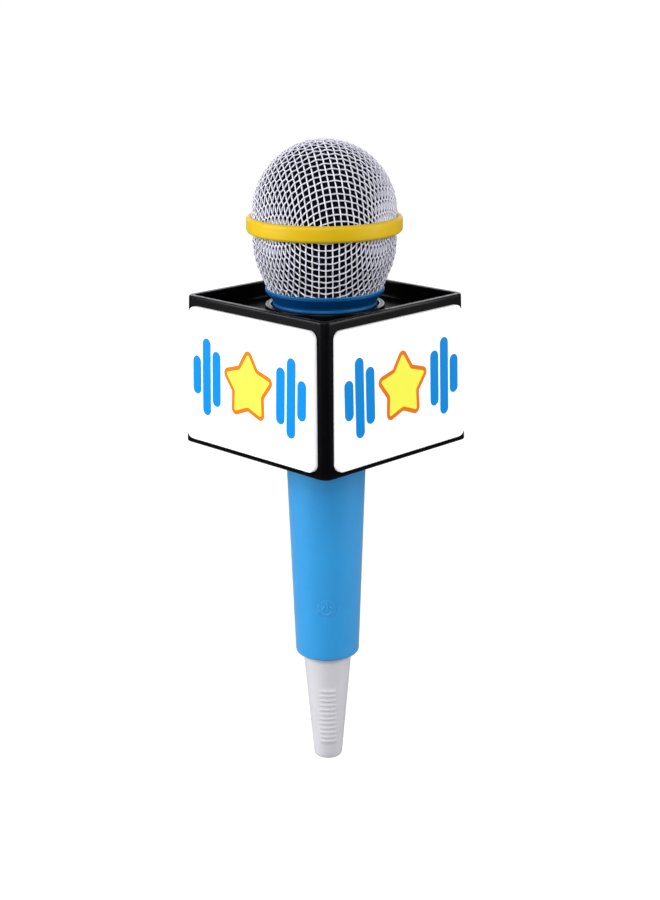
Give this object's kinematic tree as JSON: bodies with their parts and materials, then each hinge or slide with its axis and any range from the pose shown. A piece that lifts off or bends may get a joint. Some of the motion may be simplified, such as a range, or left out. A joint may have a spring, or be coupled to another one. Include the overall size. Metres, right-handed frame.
{
  "type": "toy interview microphone",
  "caption": "Toy hand-held microphone: wire ball head with a yellow band, tapered blue handle, white tail and a square black flag box with white faces.",
  "frame": {"origin": "centre of the tail's tip, on the microphone's axis", "axes": "+Z along the axis towards the ball; -Y is the side with the power button, and a corner of the flag faces it at rest"},
  "size_m": [0.1016, 0.1016, 0.2364],
  "materials": {
    "blue_plastic": "gloss, moulded",
    "white_plastic": "gloss, moulded",
    "black_plastic": "satin, moulded",
    "panel_white": "gloss",
    "label_print": "gloss film with a printed star and bars",
    "yellow_plastic": "gloss, moulded",
    "mesh_paint": "silver paint on woven wire",
    "foam": "soft open foam",
    "inner_plastic": "plain moulded",
    "board": "solder mask",
    "resin": "epoxy and moulded resin",
    "can_metal": "drawn can",
    "contact_metal": "nickel plate",
    "steel": "zinc plate",
    "paper_cone": "pressed film",
    "battery_wrap": "plain printed wrap",
    "wire_sleeve": "flexible sleeve",
    "rubber": "moulded",
    "switch_white": "plain moulded"
  },
  "bodies": {
    "handle": {"handle_shell": "blue_plastic", "chassis": "inner_plastic", "circuit_board": "board", "sound_chip": "resin", "amplifier_chip": "resin", "capacitors": "can_metal", "switch_body": "resin", "battery_lower": "battery_wrap", "battery_upper": "battery_wrap", "positive_contact": "contact_metal", "negative_contact": "contact_metal", "battery_wires": "wire_sleeve", "speaker_wires": "wire_sleeve", "capsule_wires": "wire_sleeve", "chassis_screws": "steel", "speaker_cradle": "inner_plastic", "speaker_frame": "can_metal", "speaker_cone": "paper_cone", "speaker_magnet": "steel", "capsule_bridge": "inner_plastic", "capsule_boot": "rubber", "mic_capsule": "can_metal"},
    "button": {"power_button": "blue_plastic"},
    "plunger": {"switch_plunger": "switch_white"},
    "tail_carrier": {"tail_seal": "rubber"},
    "tail": {"tail_shell": "white_plastic", "spring_cup": "contact_metal", "battery_spring": "steel"},
    "head_carrier": {"head_gasket": "rubber"},
    "head": {"grille_collar": "blue_plastic", "grille_lower": "mesh_paint", "grille_upper": "mesh_paint", "grille_band": "yellow_plastic", "foam_liner": "foam"},
    "flag_carrier": {"flag_sleeve": "foam"},
    "flag": {"flag_shell": "black_plastic", "flag_base": "black_plastic", "flag_screws": "steel", "panel_front_left": "panel_white", "panel_front_right": "panel_white", "panel_back_left": "panel_white", "panel_back_right": "panel_white", "label_front_left": "label_print", "label_front_right": "label_print", "label_back_left": "label_print", "label_back_right": "label_print"}
  },
  "joints": [
    {"name": "button_press", "type": "slide", "parent": "handle", "child": "button", "axis": [0, 1, 0], "range_m": [0, 0.0004], "stiffness_N_per_m": 600, "springref_m": -0.0004},
    {"name": "plunger_press", "type": "slide", "parent": "handle", "child": "plunger", "axis": [0, 1, 0], "range_m": [0, 0.0004]},
    {"name": "tail_turn", "type": "hinge", "parent": "tail_carrier", "child": "tail", "pos_m": [0, 0, 0.0434], "axis": [0, 0, -1], "range_deg": [0, 1080]},
    {"name": "tail_travel", "type": "slide", "parent": "handle", "child": "tail_carrier", "axis": [0, 0, -1], "range_m": [0, 0.0084]},
    {"name": "head_turn", "type": "hinge", "parent": "head_carrier", "child": "head", "pos_m": [0, 0, 0.1776], "axis": [0, 0, 1], "range_deg": [0, 1080]},
    {"name": "head_travel", "type": "slide", "parent": "handle", "child": "head_carrier", "axis": [0, 0, 1], "range_m": [0, 0.0102]},
    {"name": "flag_slide", "type": "slide", "parent": "handle", "child": "flag_carrier", "axis": [0, 0, -1], "range_m": [0, 0.2]},
    {"name": "flag_turn", "type": "hinge", "parent": "flag_carrier", "child": "flag", "pos_m": [0, 0, 0.15], "axis": [0, 0, 1], "continuous": true}
  ],
  "couplings": [
    {"joint": "plunger_press", "follows": "button_press", "ratio": 1},
    {"joint": "tail_travel", "follows": "tail_turn", "m_per_rad": 0.00044563},
    {"joint": "head_travel", "follows": "head_turn", "m_per_rad": 0.00054113}
  ]
}
